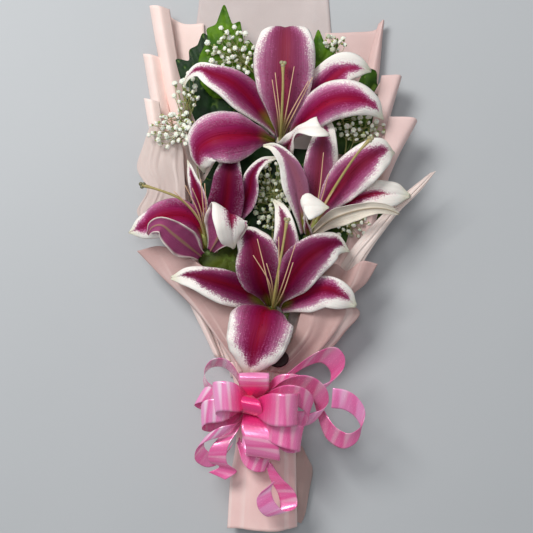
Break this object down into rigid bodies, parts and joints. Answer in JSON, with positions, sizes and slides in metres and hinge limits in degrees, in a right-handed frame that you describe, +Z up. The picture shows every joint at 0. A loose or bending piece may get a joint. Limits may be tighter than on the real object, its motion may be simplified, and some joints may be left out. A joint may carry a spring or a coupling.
{
  "type": "wrapped bouquet of cut lilies",
  "caption": "Wrapped bouquet of open pink and white lilies with leaves and baby's breath, in pale pleated paper tied with a satin pull bow, lying on its back.",
  "frame": {"origin": "under the middle of the bunch, on the surface it lies on", "axes": "+Y from the cut stems to the flowers, +X to the right as seen from above, +Z up, away from the surface"},
  "size_m": [0.3102, 0.558, 0.1219],
  "materials": {
    "petal_inner": "soft satin plant tissue, crimson centre, magenta field, white margin",
    "petal_outer": "soft satin plant tissue, paler, cream-green tip and back midrib",
    "pistil": "waxy olive yellow style and pinkish filaments",
    "stem": "smooth green stem with a faint bloom",
    "leaf": "semi-gloss leaf with a paler midrib",
    "breath": "tiny matt white florets on grey-green stalks",
    "paper": "matt pale pink wrapping paper, slightly translucent",
    "ribbon": "glossy satin pink ribbon",
    "seal": "semi-gloss dark brown sticker, blank"
  },
  "bodies": {
    "root": {"wrap_back_sheet": "paper", "wrap_sleeve": "paper", "ribbon_tie": "ribbon", "lily_top_stem": "stem", "lily_left_stem": "stem", "lily_right_stem": "stem", "lily_bottom_stem": "stem", "lily_top_petal_inner_1": "petal_inner", "lily_top_petal_inner_2": "petal_inner", "lily_top_petal_inner_3": "petal_inner", "lily_top_petal_outer_1": "petal_outer", "lily_top_petal_outer_2": "petal_outer", "lily_top_petal_outer_3": "petal_outer", "lily_top_pistil_and_filaments": "pistil", "lily_left_petal_inner_1": "petal_inner", "lily_left_petal_inner_2": "petal_inner", "lily_left_petal_inner_3": "petal_inner", "lily_left_petal_outer_1": "petal_outer", "lily_left_petal_outer_2": "petal_outer", "lily_left_petal_outer_3": "petal_outer", "lily_left_pistil_and_filaments": "pistil", "lily_right_petal_inner_1": "petal_inner", "lily_right_petal_inner_2": "petal_inner", "lily_right_petal_inner_3": "petal_inner", "lily_right_petal_outer_1": "petal_outer", "lily_right_petal_outer_2": "petal_outer", "lily_right_petal_outer_3": "petal_outer", "lily_right_pistil_and_filaments": "pistil", "lily_bottom_petal_inner_1": "petal_inner", "lily_bottom_petal_inner_2": "petal_inner", "lily_bottom_petal_inner_3": "petal_inner", "lily_bottom_petal_outer_1": "petal_outer", "lily_bottom_petal_outer_2": "petal_outer", "lily_bottom_petal_outer_3": "petal_outer", "lily_bottom_pistil_and_filaments": "pistil", "ribbon_bow": "ribbon", "ribbon_tail_right": "ribbon", "ribbon_tail_bottom": "ribbon", "oval_seal": "seal", "wrap_left_pleat_1": "paper", "wrap_left_pleat_2": "paper", "wrap_left_pleat_3": "paper", "wrap_left_panel": "paper", "wrap_left_flap": "paper", "wrap_right_pleat_1": "paper", "wrap_right_pleat_2": "paper", "wrap_right_pleat_3": "paper", "wrap_right_panel": "paper", "wrap_right_flap": "paper", "leaf_top_left": "leaf", "leaf_upper_left": "leaf", "leaf_top_right": "leaf", "leaf_right": "leaf", "leaf_left": "leaf", "leaf_centre": "leaf", "leaf_low_right": "leaf", "breath_top_left": "breath", "breath_left": "breath", "breath_centre": "breath", "breath_right": "breath"}
  },
  "joints": []
}
